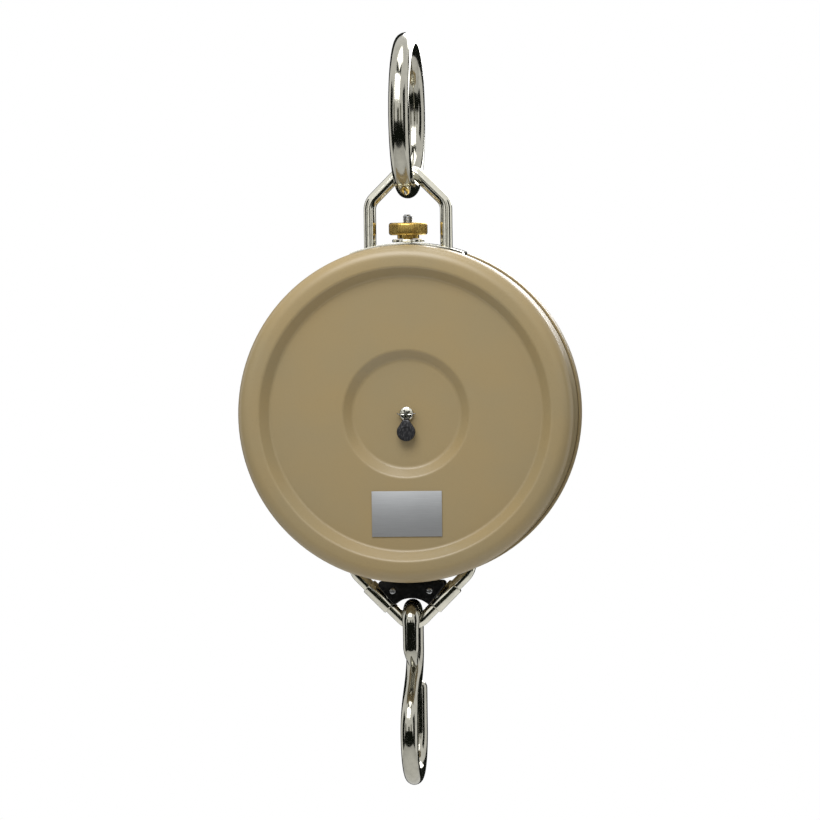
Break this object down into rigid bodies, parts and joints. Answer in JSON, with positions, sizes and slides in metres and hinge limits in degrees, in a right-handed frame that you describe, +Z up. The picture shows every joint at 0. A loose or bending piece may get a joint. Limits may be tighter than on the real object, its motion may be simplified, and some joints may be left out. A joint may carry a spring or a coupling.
{
  "type": "hanging spring scale",
  "caption": "Round hanging dial scale with a lifting ring and bail above, a zero nut, and a load link and S hook below.",
  "frame": {"origin": "hang point: the top of the lifting ring's inside, where the support bears", "axes": "+Z up, +Y out of the dial, -Y out of the rear cover"},
  "size_m": [0.23, 0.1134, 0.5145],
  "materials": {
    "chrome": "bright plated steel",
    "beige_paint": "satin stoved paint",
    "black_paint": "semi gloss black",
    "brass": "turned",
    "dial_paint": "matt white",
    "glass": "clear",
    "rubber": "plain",
    "label_aluminium": "bare",
    "lead": "dull grey",
    "steel": "zinc plated"
  },
  "bodies": {
    "ring": {"top_ring": "chrome"},
    "case": {"arbor_bush_front": "brass", "arbor_bush_rear": "brass", "bail": "chrome", "bail_nut_left": "steel", "bail_nut_right": "steel", "bezel": "chrome", "bottom_block": "steel", "cover_bridge": "steel", "dial_glass": "glass", "dial_plate": "dial_paint", "drum_shell": "beige_paint", "front_plate": "steel", "glass_gasket": "rubber", "guard_front": "black_paint", "guard_rear": "black_paint", "guard_screw_left": "chrome", "guard_screw_right": "chrome", "guard_spacer_left": "steel", "guard_spacer_right": "steel", "label_plate": "label_aluminium", "lower_dial_post": "brass", "lower_dial_screw": "steel", "lower_frame_bolt_left": "steel", "lower_frame_bolt_right": "steel", "nut_seat": "chrome", "rack_guide": "brass", "rear_cover": "beige_paint", "rear_plate": "steel", "saddle_plate": "chrome", "seal_screw": "chrome", "spring_left": "steel", "spring_right": "steel", "top_block": "steel", "upper_dial_post": "brass", "upper_dial_screw": "steel", "upper_frame_bolt_left": "steel", "upper_frame_bolt_right": "steel"},
    "zero_nut": {"zero_nut": "brass"},
    "zero_stud": {"zero_stud": "steel", "hanger_bar": "steel", "hanger_nut": "steel"},
    "carriage": {"load_crossbar": "steel", "rack": "steel", "rack_nut": "steel", "link_arm_left": "chrome", "link_arm_right": "chrome", "arm_nut_left": "steel", "arm_nut_right": "steel", "link_sleeve_left": "chrome", "link_sleeve_right": "chrome", "link_vee": "chrome"},
    "pointer": {"arbor": "steel", "pinion": "brass", "pointer_hub": "brass", "pointer_blade": "black_paint", "pointer_cap": "brass"},
    "hook": {"hook": "chrome"},
    "seal": {"seal_wire": "lead", "lead_seal": "lead"}
  },
  "joints": [
    {"name": "ring_swing", "type": "hinge", "parent": "ring", "child": "case", "pos_m": [0, 0, -0.08095], "axis": [1, 0, 0], "range_deg": [-50, 50]},
    {"name": "zero_nut_turn", "type": "hinge", "parent": "case", "child": "zero_nut", "pos_m": [0, 0, -0.12595], "axis": [0, 0, 1], "range_deg": [-545, 545]},
    {"name": "zero_stud_lift", "type": "slide", "parent": "case", "child": "zero_stud", "axis": [0, 0, 1], "range_m": [-0.0015, 0.0015]},
    {"name": "load_travel", "type": "slide", "parent": "case", "child": "carriage", "axis": [0, 0, -1], "range_m": [0, 0.025], "stiffness_N_per_m": 40900, "springref_m": -0.001, "deforming": ["spring_left", "spring_right"]},
    {"name": "pointer_turn", "type": "hinge", "parent": "case", "child": "pointer", "pos_m": [0, 0, -0.24595], "axis": [0, -1, 0], "range_deg": [0, 345]},
    {"name": "hook_swing", "type": "hinge", "parent": "carriage", "child": "hook", "pos_m": [0, 0, -0.38955], "axis": [1, 0, 0], "range_deg": [-60, 60]},
    {"name": "seal_swing", "type": "hinge", "parent": "case", "child": "seal", "pos_m": [0, -0.0242, -0.24595], "axis": [-1, 0, 0], "range_deg": [0, 70]}
  ],
  "couplings": [
    {"joint": "zero_nut_turn", "follows": "zero_stud_lift", "rad_per_m": -6283.2},
    {"joint": "pointer_turn", "follows": "load_travel", "rad_per_m": 238.1}
  ]
}
